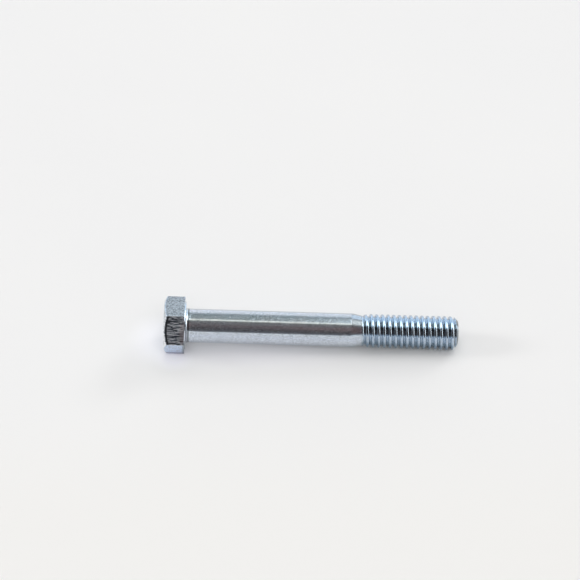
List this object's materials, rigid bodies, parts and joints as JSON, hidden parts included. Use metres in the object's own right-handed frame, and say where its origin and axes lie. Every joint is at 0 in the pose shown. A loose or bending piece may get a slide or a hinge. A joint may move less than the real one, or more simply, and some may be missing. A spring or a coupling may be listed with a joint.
{
  "type": "hex bolt",
  "caption": "Long bolt with a chamfered hexagon head, a plain shank and a partly threaded end, for clamping parts with a nut or a tapped hole.",
  "frame": {"origin": "centre of the head's flat top face, on the bolt's axis", "axes": "+X along the bolt's axis from the head to the threaded tip, +Z square to a flat of the head, so that the bolt rests on the flat that faces -Z"},
  "size_m": [0.0821, 0.0164, 0.0142],
  "materials": {
    "zinc_plated_steel": "bright zinc plating with a clear blue passivation"
  },
  "bodies": {
    "root": {"hex_bolt": "zinc_plated_steel"}
  },
  "joints": []
}
